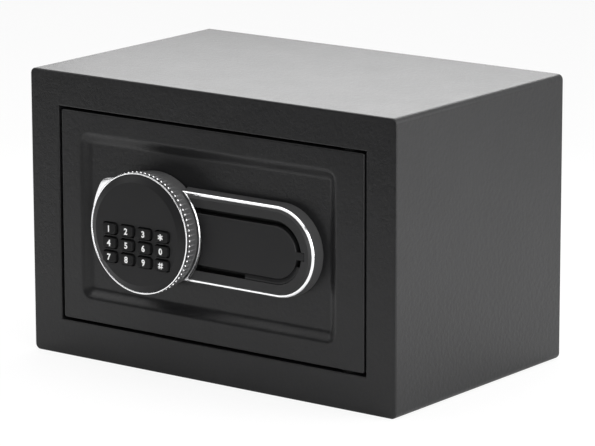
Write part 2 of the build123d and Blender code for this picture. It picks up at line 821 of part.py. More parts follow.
def cover_lip():
    """The dished lip at the cover's lower far corner, where a fingernail lifts it out."""
    right = escutcheon_end_x + escutcheon_half
    corner = frame_outline(lip_left, right, lock_z - escutcheon_half, lock_z - lip_below_axis, 0.5)
    ring = pocket_outline(cover_play, cover_play) - pocket_outline(groove_width + 0.5, cover_play)
    lip = slab(corner & ring, panel_face + 0.5, panel_face + cover_thickness)
    brow = front_plane(panel_face) * pocket_outline(0, 0)
    dip = front_plane(panel_face + lip_dip + 0.5) * pocket_outline(groove_width, groove_width)
    return lip - loft([brow, dip], ruled=True)


def override_barrel():
    """The fixed barrel of the key override lock."""
    end = plate_back + nut_thickness + 2
    barrel = rod_y(override_x, lock_z, pocket_floor, end, barrel_radius)
    head = rod_y(override_x, lock_z, barrel_face, pocket_floor, barrel_head_radius)
    head = chamfer(head.faces().sort_by(Axis.Y)[0].edges(), 0.6)
    return barrel + head - rod_y(override_x, lock_z, barrel_face - 1, end + 1, plug_radius + plug_play)


def override_nut():
    """The hexagonal nut that clamps the barrel to the lock plate."""
    outline = Pos(override_x, lock_z) * RegularPolygon(nut_across_flats / 2, 6, major_radius=False)
    nut = slab(outline, plate_back, plate_back + nut_thickness)
    return nut - rod_y(override_x, lock_z, plate_back - 1, plate_back + nut_thickness + 1, barrel_radius + fit_play)


def override_plug():
    """The turning plug with its keyway."""
    end = plate_back + nut_thickness + 2 + cam_thickness + 0.4
    plug = rod_y(override_x, lock_z, barrel_face - 0.2, end + 0.8, plug_radius)
    return plug - block(override_x - keyway_width / 2, override_x + keyway_width / 2, barrel_face - 1,
                        barrel_face + keyway_depth, lock_z - keyway_height / 2, lock_z + keyway_height / 2)


def override_cam():
    """The arm on the plug's inner end that lifts the solenoid's plunger."""
    front = plate_back + nut_thickness + 2.4
    arm = Pos(override_x, lock_z) * Circle(plug_radius + 2.5)
    arm += frame_outline(override_x - cam_width / 2, override_x + cam_width / 2, lock_z, lock_z + cam_reach, 2)
    cam = slab(arm, front, front + cam_thickness)
    return cam - rod_y(override_x, lock_z, front - 1, front + cam_thickness + 1, plug_radius + fit_play)


def solenoid_frame():
    """The folded steel yoke of the solenoid."""
    left = solenoid_x - solenoid_width / 2
    right = solenoid_x + solenoid_width / 2
    front = plate_back
    back = plunger_y + coil_radius + 0.6
    top = coil_bottom + solenoid_height
    yoke = block(left, right, front, back, coil_bottom, top)
    yoke -= block(left - 1, right + 1, front + solenoid_wall, back + 1, coil_bottom + solenoid_wall,
                  top - solenoid_wall)
    yoke += block(right - solenoid_wall, right, front, back - 3, coil_bottom, top)
    return yoke - rod_z(solenoid_x, plunger_y, coil_bottom - 1, top + 1, core_radius + core_play)


def solenoid_coil():
    """The wound bobbin inside the yoke."""
    low = coil_bottom + solenoid_wall
    high = coil_bottom + solenoid_height - solenoid_wall
    coil = rod_z(solenoid_x, plunger_y, low, high, coil_radius - 0.7)
    for z0, z1 in ((low, low + 1.2), (high - 1.2, high)):
        coil += rod_z(solenoid_x, plunger_y, z0, z1, coil_radius)
    return coil - rod_z(solenoid_x, plunger_y, low - 1, high + 1, core_radius + core_play)


def solenoid_plunger():
    """The plunger, drawn up, with the collar that its spring presses on."""
    rod = rod_z(solenoid_x, plunger_y, plunger_tip, coil_bottom + 1, plunger_radius)
    rod = chamfer(rod.faces().sort_by(Axis.Z)[0].edges(), 0.5)
    collar = rod_z(solenoid_x, plunger_y, collar_bottom, spring_bottom, plunger_collar_radius)
    top = coil_bottom + solenoid_height + 1.5
    return rod + collar + rod_z(solenoid_x, plunger_y, coil_bottom + 0.3, top, core_radius)


def plunger_spring():
    """The coil spring between the yoke and the plunger's collar."""
    rise = spring_length - spring_wire - 0.4
    path = Pos(solenoid_x, plunger_y, spring_bottom + (spring_length - rise) / 2) * Helix(
        rise / spring_turns, rise, spring_radius)
    section = Plane(origin=path @ 0, z_dir=path % 0) * RegularPolygon(spring_wire / 2, 6)
    return sweep(section, path, is_frenet=True)


def inner_cover():
    """The box-shaped cover over the lock on the inside of the door."""
    cover = block(cover_left, cover_right, skin_back, cover_depth, cover_bottom, cover_top)
    cover = fillet(cover.edges().filter_by(Axis.Y), cover_corner)
    cover = fillet(cover.faces().sort_by(Axis.Y)[-1].edges(), cover_wall)
    cover -= slab(frame_outline(cover_left + cover_wall, cover_right - cover_wall, cover_bottom + cover_wall,
                                cover_top - cover_wall, cover_corner - cover_wall), skin_back, cover_inner_back)
    for z in bolt_heights:
        cover -= rod_x(bolt_y, z, cover_left - 1, cover_left + cover_wall + 1, bolt_radius + 0.5)
    cover -= slab(battery_outline(0), cover_inner_back - 1, cover_depth + 1)
    return cover - rod_y(reset_x, lock_z + reset_above_axis, cover_inner_back - 1, cover_depth + 1,
                         reset_radius + reset_play)


def battery_outline(inset):
    """The battery opening in the inner cover, drawn in by an inset, in X and Z."""
    return frame_outline(holder_left + holder_wall + inset, holder_right - holder_wall - inset,
                         holder_bottom + holder_wall + inset, holder_top - holder_wall - inset, 2)


def battery_lid():
    """The lift-off lid of the battery holder, with a finger dip."""
    face = cover_depth + lid_air
    lid = slab(battery_outline(-lid_overlap), face, face + lid_thickness)
    lid = chamfer(lid.faces().sort_by(Axis.Y)[-1].edges(), 0.5)
    lip = battery_outline(lid_play) - battery_outline(lid_play + 1.4)
    lid += slab(lip, cover_inner_back, face)
    low = holder_bottom + holder_wall + 4
    grip = Pos((holder_left + holder_right) / 2, face + lid_thickness + lid_grip_radius - 0.7, low)
    return lid - grip * Rot(0, 90, 0) * Cylinder(lid_grip_radius, 14)


def battery_holder():
    """The tray for the cells, open to the battery lid."""
    tray = block(holder_left, holder_right, holder_front, cover_inner_back, holder_bottom, holder_top)
    tray -= block(holder_left + holder_wall, holder_right - holder_wall, cell_y(), cover_inner_back + 1,
                  holder_bottom + holder_wall, holder_top - holder_wall)
    for z in cell_heights():
        tray -= rod_x(cell_y(), z, holder_left + holder_wall, holder_right - holder_wall, cell_pitch / 2 - 0.2)
    return tray


def cell_y():
    """The depth of the cells' axes."""
    return holder_front + holder_wall + cell_pitch / 2


def cell_heights():
    """The heights of the cells' axes."""
    first = holder_bottom + holder_wall + cell_pitch / 2
    return [first + step * cell_pitch for step in range(cell_count)]


def battery_cells():
    """The round cells, each turned end for end from its neighbour."""
    start = holder_left + holder_wall + contact_thickness + 0.15
    length = cell_length + cell_nub
    middle = start + length / 2
    cells = []
    for index, z in enumerate(cell_heights()):
        can = rod_x(cell_y(), z, start, start + cell_length, cell_radius)
        can = chamfer(can.faces().filter_by(Axis.X).edges(), 0.6)
        can += rod_x(cell_y(), z, start + cell_length, start + length, cell_nub_radius)
        if index % 2:
            can = mirror(can, Plane(origin=(middle, 0, 0), z_dir=(1, 0, 0)))
        cells.append(can)
    return cells


def battery_contacts():
    """The contact plates at both ends of each cell."""
    plates = []
    for z in cell_heights():
        for x in (holder_left + holder_wall, holder_right - holder_wall - contact_thickness):
            plates.append(rod_x(cell_y(), z, x, x + contact_thickness, contact_radius))
    return plates


def control_board():
    """The main circuit board with its larger parts."""
    right = board_left + board_width
    top = board_bottom + board_height
    front = plate_back + standoff
    back = front + board_thickness
    board = slab(frame_outline(board_left, right, board_bottom, top, 1.5), front, back)
    board += block(board_left + 16, board_left + 30, back, back + 2.4, board_bottom + 12, board_bottom + 22)
    board += block(right - 12, right - 3, back, back + 6, board_bottom + 8, board_bottom + 20)
    for x in (board_left + 36, board_left + 42.5):
        board += rod_y(x, top - 7, back, back + 8, 2.5)
    return board


def board_standoffs():
    """The pillars between the lock plate and the control board."""
    pillars = []
    for x in (board_left + 4, board_left + board_width - 4):
        for z in (board_bottom + 4, board_bottom + board_height - 4):
            pillars.append(rod_y(x, z, plate_back, plate_back + standoff, standoff_radius))
    return pillars


def buzzer():
    """The round sounder on the control board."""
    x = board_left + 9
    z = board_bottom + board_height - 12
    front = plate_back + standoff + board_thickness
    can = rod_y(x, z, front, front + buzzer_height, buzzer_radius)
    return can - rod_y(x, z, front + buzzer_height - 1.5, front + buzzer_height + 1, 1.2)


def cover_posts():
    """The screw posts that the inner cover is fixed to."""
    return [rod_y(x, z, plate_back, cover_inner_back, post_radius) for x, z in post_places]


def switch_housing():
    """The small open box behind the inner cover that guides the reset button."""
    z = lock_z + reset_above_axis
    outline = Pos(reset_x, z) * RectangleRounded(switch_size, switch_size, 1)
    inner = Pos(reset_x, z) * Rectangle(switch_size - 2.4, switch_size - 2.4)
    front = cover_inner_back - switch_depth
    return slab(outline, front, cover_inner_back) - slab(inner, front + 1.2, cover_inner_back)


def reset_button():
    """The round button that sets a new code, reached from inside the safe."""
    z = lock_z + reset_above_axis
    button = rod_y(reset_x, z, cover_inner_back - 0.4, cover_depth + reset_stand, reset_radius)
    button = chamfer(button.faces().sort_by(Axis.Y)[-1].edges(), 0.5)
    button += rod_y(reset_x, z, cover_inner_back - 1.4, cover_inner_back - 0.4, reset_flange_radius)
    return button + rod_y(reset_x, z, cover_inner_back - switch_depth + 4, cover_inner_back - 1.4, 2)


def save(name, pieces):
    """Writes one named sub-part, set back so that the origin is under the cabinet's centre."""
    solids = []
    for piece in pieces if isinstance(pieces, list) else [pieces]:
        solids.extend(piece.solids())
    placed = [Pos(0, -depth / 2, 0) * solid for solid in solids]
    export_step(placed[0] if len(placed) == 1 else Compound(children=placed), f"parts/{name}.step")
    print(name, len(placed))


save("cabinet_wrap", cabinet_wrap())
save("front_frame", front_frame())
save("back_panel", back_panel())
save("door_stops", door_stops())
save("floor_mat", floor_mat())
save("hinge_pin_upper", hinge_pin())
save("hinge_pin_lower", mirrored_in_height(hinge_pin()))
save("hinge_bush_upper", hinge_bush())
save("hinge_bush_lower", mirrored_in_height(hinge_bush()))
save("hinge_brackets", hinge_brackets())
save("door_panel", door_panel())
save("lock_plate", lock_plate())
save("bolt_guide", bolt_guide())
save("guide_studs", guide_studs())
save("bolt_carrier", bolt_carrier())
save("bolt_lower", bolt(bolt_heights[0]))
save("bolt_upper", bolt(bolt_heights[1]))
save("dial_body", dial_body())
save("dial_ring", dial_ring())
save("keypad_face", keypad_face())
save("keypad_board", keypad_board())
save("dome_switches", dome_switches())
save("dial_spindle", dial_spindle())
save("spindle_bush", spindle_bush())
save("spindle_clip", spindle_clip())
save("pinion", pinion())
save("escutcheon", escutcheon())
save("escutcheon_bezel", escutcheon_bezel())
save("keyway_cover", keyway_cover())
save("override_barrel", override_barrel())
save("override_nut", override_nut())
save("override_plug", override_plug())
save("override_cam", override_cam())
save("solenoid_frame", solenoid_frame())
save("solenoid_coil", solenoid_coil())
save("solenoid_plunger", solenoid_plunger())
save("plunger_spring", plunger_spring())
save("inner_cover", inner_cover())
save("cover_posts", cover_posts())
save("battery_lid", battery_lid())
save("battery_holder", battery_holder())
save("battery_cells", battery_cells())
save("battery_contacts", battery_contacts())
save("control_board", control_board())
save("board_standoffs", board_standoffs())
save("buzzer", buzzer())
save("switch_housing", switch_housing())
save("reset_button", reset_button())
for key_name, key_x, key_z in key_places():
    save("key_" + key_name, key(key_x, key_z))

print("hinge axis x, y", hinge_x, hinge_y - depth / 2)
print("dial axis x, z", dial_x, lock_z, "turn in degrees", dial_turn * 180 / pi)
print("override axis x", override_x, "carrier millimetres per radian", pitch_radius)
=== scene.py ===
import json
from math import asin, cos, pi, radians, sin, sqrt

import bmesh
import bpy
from mathutils import Matrix, Vector


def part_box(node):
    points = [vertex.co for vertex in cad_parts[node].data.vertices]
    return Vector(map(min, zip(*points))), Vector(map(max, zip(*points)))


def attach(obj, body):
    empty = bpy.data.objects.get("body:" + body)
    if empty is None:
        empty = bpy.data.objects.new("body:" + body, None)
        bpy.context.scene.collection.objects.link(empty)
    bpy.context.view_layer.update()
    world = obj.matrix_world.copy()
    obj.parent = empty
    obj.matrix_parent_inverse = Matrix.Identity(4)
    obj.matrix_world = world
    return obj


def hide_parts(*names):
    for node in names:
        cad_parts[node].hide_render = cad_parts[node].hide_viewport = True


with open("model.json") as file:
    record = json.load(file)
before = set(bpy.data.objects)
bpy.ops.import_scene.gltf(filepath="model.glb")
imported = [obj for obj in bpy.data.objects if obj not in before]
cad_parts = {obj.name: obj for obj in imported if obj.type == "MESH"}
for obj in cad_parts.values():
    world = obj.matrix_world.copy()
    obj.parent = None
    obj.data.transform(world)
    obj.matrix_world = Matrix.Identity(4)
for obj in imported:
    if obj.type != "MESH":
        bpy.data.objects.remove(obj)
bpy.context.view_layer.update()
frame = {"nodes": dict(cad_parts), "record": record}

# The safe's own frame, in metres: X to the right, Y to the back, Z up. Places and faces are in metres.
mm = 0.001
front = -97.5 * mm
dial_x = -45.6 * mm
lock_z = 100.5 * mm
rim_face = front - 17.7 * mm
key_face = rim_face - 4.5 * mm
panel_face = front - 6.6 * mm
bezel_face = front - 5.0 * mm
cover_back = front + 46.0 * mm
barrel_x = 28 * mm

# The dial, in millimetres behind its rim and from its axis
bead_count = 72
bead_radius = 0.9
bead_ring = 41.3
bead_setback = 3.5
neck_end = 4.6
flute_end = 11.2
flute_cut = 0.6

# The housing beside the dial, in millimetres
housing_half = 31.8
housing_end_x = 61.4
housing_hollow = 40.8
pocket_half = 22.0

# The keys, in millimetres
key_order = ["1", "2", "3", "star", "4", "5", "6", "0", "7", "8", "9", "hash"]
key_pitch = 15
row_pitch = 9.8
first_row = 1.4
key_width = 11.2
key_height = 7.0
flange_width = 14.2
flange_height = 9.2
figure_size = 6.0
figure_swell = 0.18
print_thickness = 0.04
star_stroke = 0.95
star_length = 4.5
hash_stroke = 0.75
hash_spread = 0.88

# The felt mat and the screws, in millimetres
mat_width = 301
mat_length = 186
mat_thickness = 3
mat_corner = 6
mat_hole = 7
anchor_x = 90
cabinet_floor = 2
screw_radius = 3.2
screw_height = 1.5


# Shader maths

class Wire:
    """A value in a material's nodes. Python's arithmetic on it adds Math nodes."""

    def __init__(self, finish, socket):
        self.finish = finish
        self.socket = socket

    def maths(self, operation, *values):
        return self.finish.node("ShaderNodeMath", {"operation": operation}, dict(enumerate(values)))

    def __add__(self, other):
        return self.maths("ADD", self, other)

    def __radd__(self, other):
        return self.maths("ADD", other, self)

    def __sub__(self, other):
        return self.maths("SUBTRACT", self, other)

    def __rsub__(self, other):
        return self.maths("SUBTRACT", other, self)

    def __mul__(self, other):
        return self.maths("MULTIPLY", self, other)

    def __rmul__(self, other):
        return self.maths("MULTIPLY", other, self)

    def __truediv__(self, other):
        return self.maths("DIVIDE", self, other)

    def __pow__(self, other):
        return self.maths("POWER", self, other)

    def __abs__(self):
        return self.maths("ABSOLUTE", self)

    def __gt__(self, other):
        return self.maths("GREATER_THAN", self, other)

    def __lt__(self, other):
        return self.maths("LESS_THAN", self, other)


class Finish:
    """A material with its Principled shader. Keyword sizes set the shader's own sockets."""

    def __init__(self, name, **constants):
        self.material = bpy.data.materials.new(name)
        self.material.use_nodes = True
        self.tree = self.material.node_tree
        self.tree.nodes.clear()
        self.output = self.tree.nodes.new("ShaderNodeOutputMaterial")
        self.shader = self.tree.nodes.new("ShaderNodeBsdfPrincipled")
        self.tree.links.new(self.shader.outputs[0], self.output.inputs[0])
        for socket, value in constants.items():
            self.shader.inputs[socket.replace("_", " ")].default_value = value

    def feed(self, socket, value):
        if isinstance(value, Wire):
            self.tree.links.new(value.socket, socket)
        elif isinstance(value, (tuple, list)) and len(value) == 3 and socket.type == "RGBA":
            socket.default_value = (*value, 1)
        else:
            socket.default_value = value

    def node(self, kind, settings=None, inputs=None, out=0):
        """Adds a node: its settings first, then the values or wires of its sockets."""
        made = self.tree.nodes.new(kind)
        for name, value in (settings or {}).items():
            if name == "stops":
                ramp = made.color_ramp
                while len(ramp.elements) < len(value):
                    ramp.elements.new(0.5)
                for element, (place, tone) in zip(ramp.elements, value):
                    element.position = place
                    element.color = (tone, tone, tone, 1)
            else:
                setattr(made, name, value)
        for name, value in (inputs or {}).items():
            self.feed(made.inputs[name], value)
        return Wire(self, made.outputs[out])

    def place(self):
        """The point on the object, in metres."""
        return self.node("ShaderNodeTexCoord", out="Object")

    def along(self, axis):
        """One coordinate of the point on the object, in metres."""
        return self.node("ShaderNodeSeparateXYZ", inputs={0: self.place()}, out="XYZ".index(axis))

    def noise(self, size, detail=2.0, rough=0.5, stretch=(1, 1, 1)):
        """Noise from 0 to 1 with grains of about a size in metres."""
        point = self.node("ShaderNodeMapping", inputs={"Vector": self.place(), "Scale": stretch})
        return self.node("ShaderNodeTexNoise", inputs={
            "Vector": point, "Scale": 1 / size, "Detail": detail, "Roughness": rough})

    def ramp(self, value, *stops):
        """A value passed through stops of position and height."""
        return self.node("ShaderNodeValToRGB", {"stops": stops}, {0: value})

    def blend(self, share, first, second):
        """A colour between two, by a share from 0 to 1."""
        return self.node("ShaderNodeMix", {"data_type": "RGBA"}, {0: share, 6: first, 7: second}, out=2)

    def bump(self, height, depth, strength=1.0):
        """Feeds the shader a bump of a depth in metres."""
        self.shape("Normal", self.node("ShaderNodeBump", inputs={
            "Height": height, "Distance": depth, "Strength": strength}))

    def shape(self, socket, value):
        """Feeds one of the shader's sockets."""
        self.feed(self.shader.inputs[socket], value)


# Finishes

def powder_coat():
    """Charcoal powder coat with a fine leather-like grain."""
    paint = Finish("charcoal_powder_coat", Specular_IOR_Level=0.34)
    grain = paint.noise(0.9 * mm, 3, 0.6)
    patch = paint.noise(28 * mm, 2)
    tone = paint.ramp(0.7 * grain + 0.3 * patch, (0.3, 0.0), (0.7, 1.0))
    paint.shape("Base Color", paint.blend(tone, (0.004, 0.004, 0.0043), (0.011, 0.011, 0.0117)))
    paint.shape("Roughness", 0.30 + 0.12 * grain + 0.05 * patch)
    peel = paint.noise(3.0 * mm, 2)
    paint.bump(0.4 * grain + peel, 0.3 * mm, 0.55)
    return paint.material


def satin_plastic(name, dark, light, rough, grain_size=0.35, shine=0.35, shadow=None, wall=None):
    """Moulded plastic with a fine spark-eroded grain, and masks for painted light on its outer wall and a
    painted near-black shadow.
    """
    plastic = Finish(name, Specular_IOR_Level=shine)
    grain = plastic.noise(grain_size * mm, 2, 0.6)
    patch = plastic.noise(16 * mm, 2)
    tone = plastic.blend(patch, dark, light)
    # Painted light: the outer wall is the same plastic, painted paler where it catches more light.
    if wall:
        painted_light_wall = (0.055, 0.055, 0.056)
        tone = plastic.blend(wall(plastic), tone, painted_light_wall)
    # Painted shadow: near-black where the shadow mask marks deep shade.
    if shadow:
        painted_shadow_black = (0.0015, 0.0015, 0.0015)
        tone = plastic.blend(shadow(plastic), tone, painted_shadow_black)
    plastic.shape("Base Color", tone)
    plastic.shape("Roughness", rough + 0.08 * grain + 0.04 * patch)
    plastic.bump(grain, 0.012 * mm, 0.4)
    return plastic.material


def pocket_shadow_mask(plastic):
    """A mask of the pocket round the loose cover, where the deep groove's shadow is painted near-black."""
    height = abs(plastic.along("Z") - lock_z)
    beyond_end = plastic.along("X") - housing_end_x * mm
    beyond = beyond_end.maths("MAXIMUM", beyond_end, 0.0)
    reach = (height * height + beyond * beyond) ** 0.5
    inside = reach < pocket_half * mm
    behind = plastic.along("Y") > panel_face + 0.45 * mm
    return inside * behind


def lit_wall_mask(plastic):
    """A mask of the housing's outer wall, which lies behind its bright line, where painted light makes the
    same plastic paler.
    """
    return plastic.along("Y") > bezel_face + 0.3 * mm


def fluted_plastic():
    """Grey satin plastic with painted highlights along the ridges that run back from the beads, fading
    backwards and broken up by noise.
    """
    skirt = Finish("fluted_plastic", Specular_IOR_Level=0.5)
    rise = skirt.along("Z") - lock_z
    turn = rise.maths("ARCTAN2", rise, skirt.along("X") - dial_x)
    ridges = turn * (bead_count / (2 * pi)) + 0.5
    aside = abs(ridges.maths("FRACT", ridges) - 0.5)
    ridge_highlight = skirt.ramp(aside, (0.05, 1.0), (0.16, 0.0))
    back = (skirt.along("Y") - rim_face) / (flute_end * mm)
    fade = skirt.ramp(back, (0.45, 1.0), (0.95, 0.0))
    highlight_breakup = skirt.ramp(skirt.noise(1.6 * mm, 2), (0.35, 0.25), (0.6, 1.0))
    patch = skirt.noise(12 * mm, 2)
    plain = skirt.blend(patch, (0.065, 0.065, 0.066), (0.095, 0.095, 0.096))
    # Painted highlight: the ridges are made paler than the plain plastic, as if they catch the light.
    skirt.shape("Base Color", skirt.blend(ridge_highlight * fade * highlight_breakup, plain, (0.30, 0.30, 0.31)))
    skirt.shape("Roughness", 0.30 + 0.06 * patch)
    return skirt.material


def plated(name, rough):
    """Bright plating, a little softened where it is handled."""
    plate = Finish(name, Metallic=1.0, Base_Color=(0.88, 0.88, 0.89, 1))
    haze = plate.noise(9 * mm, 3)
    plate.shape("Roughness", rough + 0.08 * haze)
    return plate.material


def zinc_plate(name, base, rough, grain=(1, 1, 1)):
    """Plated sheet steel, faintly mottled and drawn along one direction."""
    zinc = Finish(name, Metallic=1.0)
    cloud = zinc.noise(7 * mm, 4, 0.6)
    draw = zinc.noise(0.5 * mm, 2, 0.5, grain)
    dark = tuple(0.78 * tone for tone in base)
    zinc.shape("Base Color", zinc.blend(cloud, dark, base))
    zinc.shape("Roughness", rough + 0.15 * cloud + 0.1 * draw)
    zinc.bump(draw, 0.006 * mm, 0.3)
    return zinc.material


def felt():
    """Needled felt."""
    cloth = Finish("grey_felt", Roughness=0.95, Sheen_Weight=0.25, Sheen_Roughness=0.5)
    fibre = cloth.noise(0.5 * mm, 4, 0.7)
    clump = cloth.noise(5 * mm, 3, 0.6)
    tone = 0.5 * fibre + 0.5 * clump
    cloth.shape("Base Color", cloth.blend(tone, (0.022, 0.022, 0.025), (0.06, 0.06, 0.065)))
    cloth.bump(fibre + 0.6 * clump, 0.3 * mm, 0.8)
    return cloth.material


def circuit_board():
    """Solder-masked board with darker bare lanes between its copper."""
    board = Finish("circuit_board", Coat_Weight=0.2)
    upright = board.node("ShaderNodeMapping", inputs={"Vector": board.place(), "Rotation": (pi / 2, 0, 0)})
    lanes = board.node("ShaderNodeTexBrick", inputs={
        "Vector": upright, "Scale": 1 / (9 * mm), "Mortar Size": 0.04, "Color1": (0.01, 0.1, 0.035),
        "Color2": (0.012, 0.13, 0.05), "Mortar": (0.006, 0.05, 0.018)})
    board.shape("Base Color", lanes)
    board.shape("Roughness", 0.3 + 0.15 * board.noise(2 * mm))
    return board.material


def winding():
    """Enamelled copper wire wound in close turns."""
    wire = Finish("copper_winding", Metallic=1.0)
    pitch = 0.35 * mm
    height = wire.along("Z") * (2 * pi / pitch)
    turns = height.maths("SINE", height)
    # Painted shade: the colour darkens in the dips between turns, where the bump sinks.
    wire.shape("Base Color", wire.blend(0.5 + 0.5 * turns, (0.30, 0.10, 0.04), (0.62, 0.27, 0.11)))
    wire.shape("Roughness", 0.35 + 0.1 * wire.noise(1 * mm))
    wire.bump(turns, 0.05 * mm, 0.6)
    return wire.material


def cell_sleeve():
    """A cell's printed sleeve: dark with a pale band at one end."""
    sleeve = Finish("cell_sleeve", Coat_Weight=0.3)
    band = sleeve.ramp((sleeve.along("X") - 44 * mm) / (54 * mm), (0.0, 1.0), (0.26, 1.0), (0.27, 0.0))
    sleeve.shape("Base Color", sleeve.blend(band, (0.012, 0.012, 0.014), (0.45, 0.33, 0.16)))
    sleeve.shape("Roughness", 0.28 + 0.1 * sleeve.noise(3 * mm))
    return sleeve.material


def print_white():
    """White ink printed on the keys."""
    ink = Finish("white_print", Roughness=0.6)
    ink.shape("Base Color", ink.blend(ink.noise(0.6 * mm, 3), (0.72, 0.72, 0.72), (0.85, 0.85, 0.85)))
    return ink.material


powder = powder_coat()
chrome = plated("bright_chrome", 0.12)
satin_chrome = plated("satin_chrome", 0.18)
skirt_finish = fluted_plastic()
face_plastic = satin_plastic(
    "face_plastic", (0.009, 0.009, 0.0095), (0.012, 0.012, 0.0125), 0.36, shine=0.21)
key_rubber = satin_plastic(
    "key_rubber", (0.008, 0.008, 0.0083), (0.011, 0.011, 0.0113), 0.45, shine=0.14)
housing_plastic = satin_plastic("housing_plastic", (0.030, 0.030, 0.031), (0.038, 0.038, 0.039), 0.42)
# The escutcheon carries painted light on its outer wall and a painted shadow in its pocket.
escutcheon_plastic = satin_plastic(
    "escutcheon_plastic", (0.017, 0.017, 0.0175), (0.023, 0.023, 0.0235), 0.42,
    shine=0.25, shadow=pocket_shadow_mask, wall=lit_wall_mask)
red_plastic = satin_plastic("red_plastic", (0.32, 0.012, 0.010), (0.42, 0.02, 0.016), 0.3)
zinc = zinc_plate("zinc_plate", (0.62, 0.62, 0.60), 0.30)
ground_steel = zinc_plate("ground_steel", (0.66, 0.66, 0.67), 0.16, (1, 12, 12))
brass = zinc_plate("machined_brass", (0.72, 0.52, 0.24), 0.2)
# Near black: the hinge's black paint, darkened further as painted shadow for pieces in deep shade.
shaded_black = satin_plastic(
    "hinge_black_and_painted_shadow", (0.002, 0.002, 0.002), (0.004, 0.004, 0.004), 0.6, shine=0.1)
felt_cloth = felt()
print_ink = print_white()

finish_of_slot = {
    "charcoal_paint": powder,
    "zinc_steel": zinc,
    "bolt_steel": ground_steel,
    "chrome": chrome,
    "brass": brass,
    "black_plastic": housing_plastic,
    "black_gloss": face_plastic,
    "key_plastic": key_rubber,
    "red_plastic": red_plastic,
    "green_board": circuit_board(),
    "copper_winding": winding(),
    "cell_wrap": cell_sleeve(),
    "grey_felt": felt_cloth,
}
slot_of_node = {entry["node"]: entry["material_slot"] for entry in frame["record"]["subparts"]}
for name, item in frame["nodes"].items():
    item.data.materials.clear()
    item.data.materials.append(finish_of_slot[slot_of_node[name]])
frame["nodes"]["escutcheon"].data.materials[0] = escutcheon_plastic
# The hinge pieces take black paint with painted shadow on top.
for name in ("hinge_bush_upper", "hinge_bush_lower", "hinge_brackets",
             "hinge_pin_upper", "hinge_pin_lower"):
    frame["nodes"][name].data.materials[0] = shaded_black


# Shapes

def placed(name, data):
    """An object at the origin that shows some data."""
    made = bpy.data.objects.new(name, data)
    bpy.context.scene.collection.objects.link(made)
    return made


def piece(name, build, finish, smooth_angle=35):
    """A finished mesh piece from a bmesh."""
    bmesh.ops.recalc_face_normals(build, faces=build.faces)
    for face in build.faces:
        face.smooth = True
    for edge in build.edges:
        edge.smooth = len(edge.link_faces) == 2 and edge.calc_face_angle(pi) < radians(smooth_angle)
    mesh = bpy.data.meshes.new(name)
    build.to_mesh(mesh)
    build.free()
    mesh.materials.append(finish)
    return placed(name, mesh)


def stacked(rings, looped=False):
    """A skin through rings of points, closed over at its ends or joined from its last ring to its first."""
    build = bmesh.new()
    rows = [[build.verts.new(point) for point in ring] for ring in rings]
    count = len(rows[0])
    next_rows = rows[1:] + rows[:1] if looped else rows[1:]
    for lower, upper in zip(rows, next_rows):
        for step in range(count):
            after = (step + 1) % count
            build.faces.new((lower[step], lower[after], upper[after], upper[step]))
    if not looped:
        build.faces.new(rows[0][::-1])
        build.faces.new(rows[-1])
    return build


def on_dial(radius, depth, angle):
    """A point by its radius from the dial's axis and its depth behind the rim, in millimetres."""
    return (dial_x + radius * mm * cos(angle), rim_face + depth * mm, lock_z + radius * mm * sin(angle))


def turned(profile, count=240):
    """A ring turned about the dial's axis, from radii and depths behind the rim in millimetres."""
    angles = [2 * pi * step / count for step in range(count)]
    return stacked([[on_dial(radius, depth, angle) for radius, depth in profile] for angle in angles], True)


def rounded_profile(corners, radius, steps=3):
    """A closed list of radius and depth with its corners rounded."""
    points = []
    count = len(corners)
    for index, corner in enumerate(corners):
        here = Vector(corner)
        before = (Vector(corners[index - 1]) - here)
        after = (Vector(corners[(index + 1) % count]) - here)
        cut = min(radius, 0.45 * before.length, 0.45 * after.length)
        start = here + before.normalized() * cut
        end = here + after.normalized() * cut
        for step in range(steps + 1):
            t = step / steps
            points.append(tuple((1 - t) ** 2 * start + 2 * t * (1 - t) * here + t ** 2 * end))
    return points


def rounded_box_outline(x, z, width, height, radius, steps=5):
    """Points round a rectangle with rounded corners, as seen from the front."""
    points = []
    for corner, (sx, sz) in enumerate(((1, 1), (-1, 1), (-1, -1), (1, -1))):
        cx = x + sx * (width / 2 - radius)
        cz = z + sz * (height / 2 - radius)
        for step in range(steps + 1):
            angle = pi / 2 * (corner + step / steps)
            points.append((cx + radius * cos(angle), cz + radius * sin(angle)))
    return points


def cut_away(solid, shapes):
    """Cuts closed shapes out of a finished piece."""
    cutter = piece("cutter", shapes, solid.data.materials[0])
    cut = solid.modifiers.new("cut", "BOOLEAN")
    cut.operation = "DIFFERENCE"
    cut.object = cutter
    cut.solver = "EXACT"
    cut.use_self = True
    ready = solid.evaluated_get(bpy.context.evaluated_depsgraph_get())
    mesh = bpy.data.meshes.new_from_object(ready)
    mesh.set_sharp_from_angle(angle=radians(40))
    solid.modifiers.remove(cut)
    solid.data = mesh
    bpy.data.objects.remove(cutter)


def frame_joint(name):
    """A joint's place in the frame, in metres."""
    for joint in frame["record"]["behaviour"]["joints"]:
        if joint["name"] == name:
            return joint["pos_m"]


# Repeats made by geometry nodes

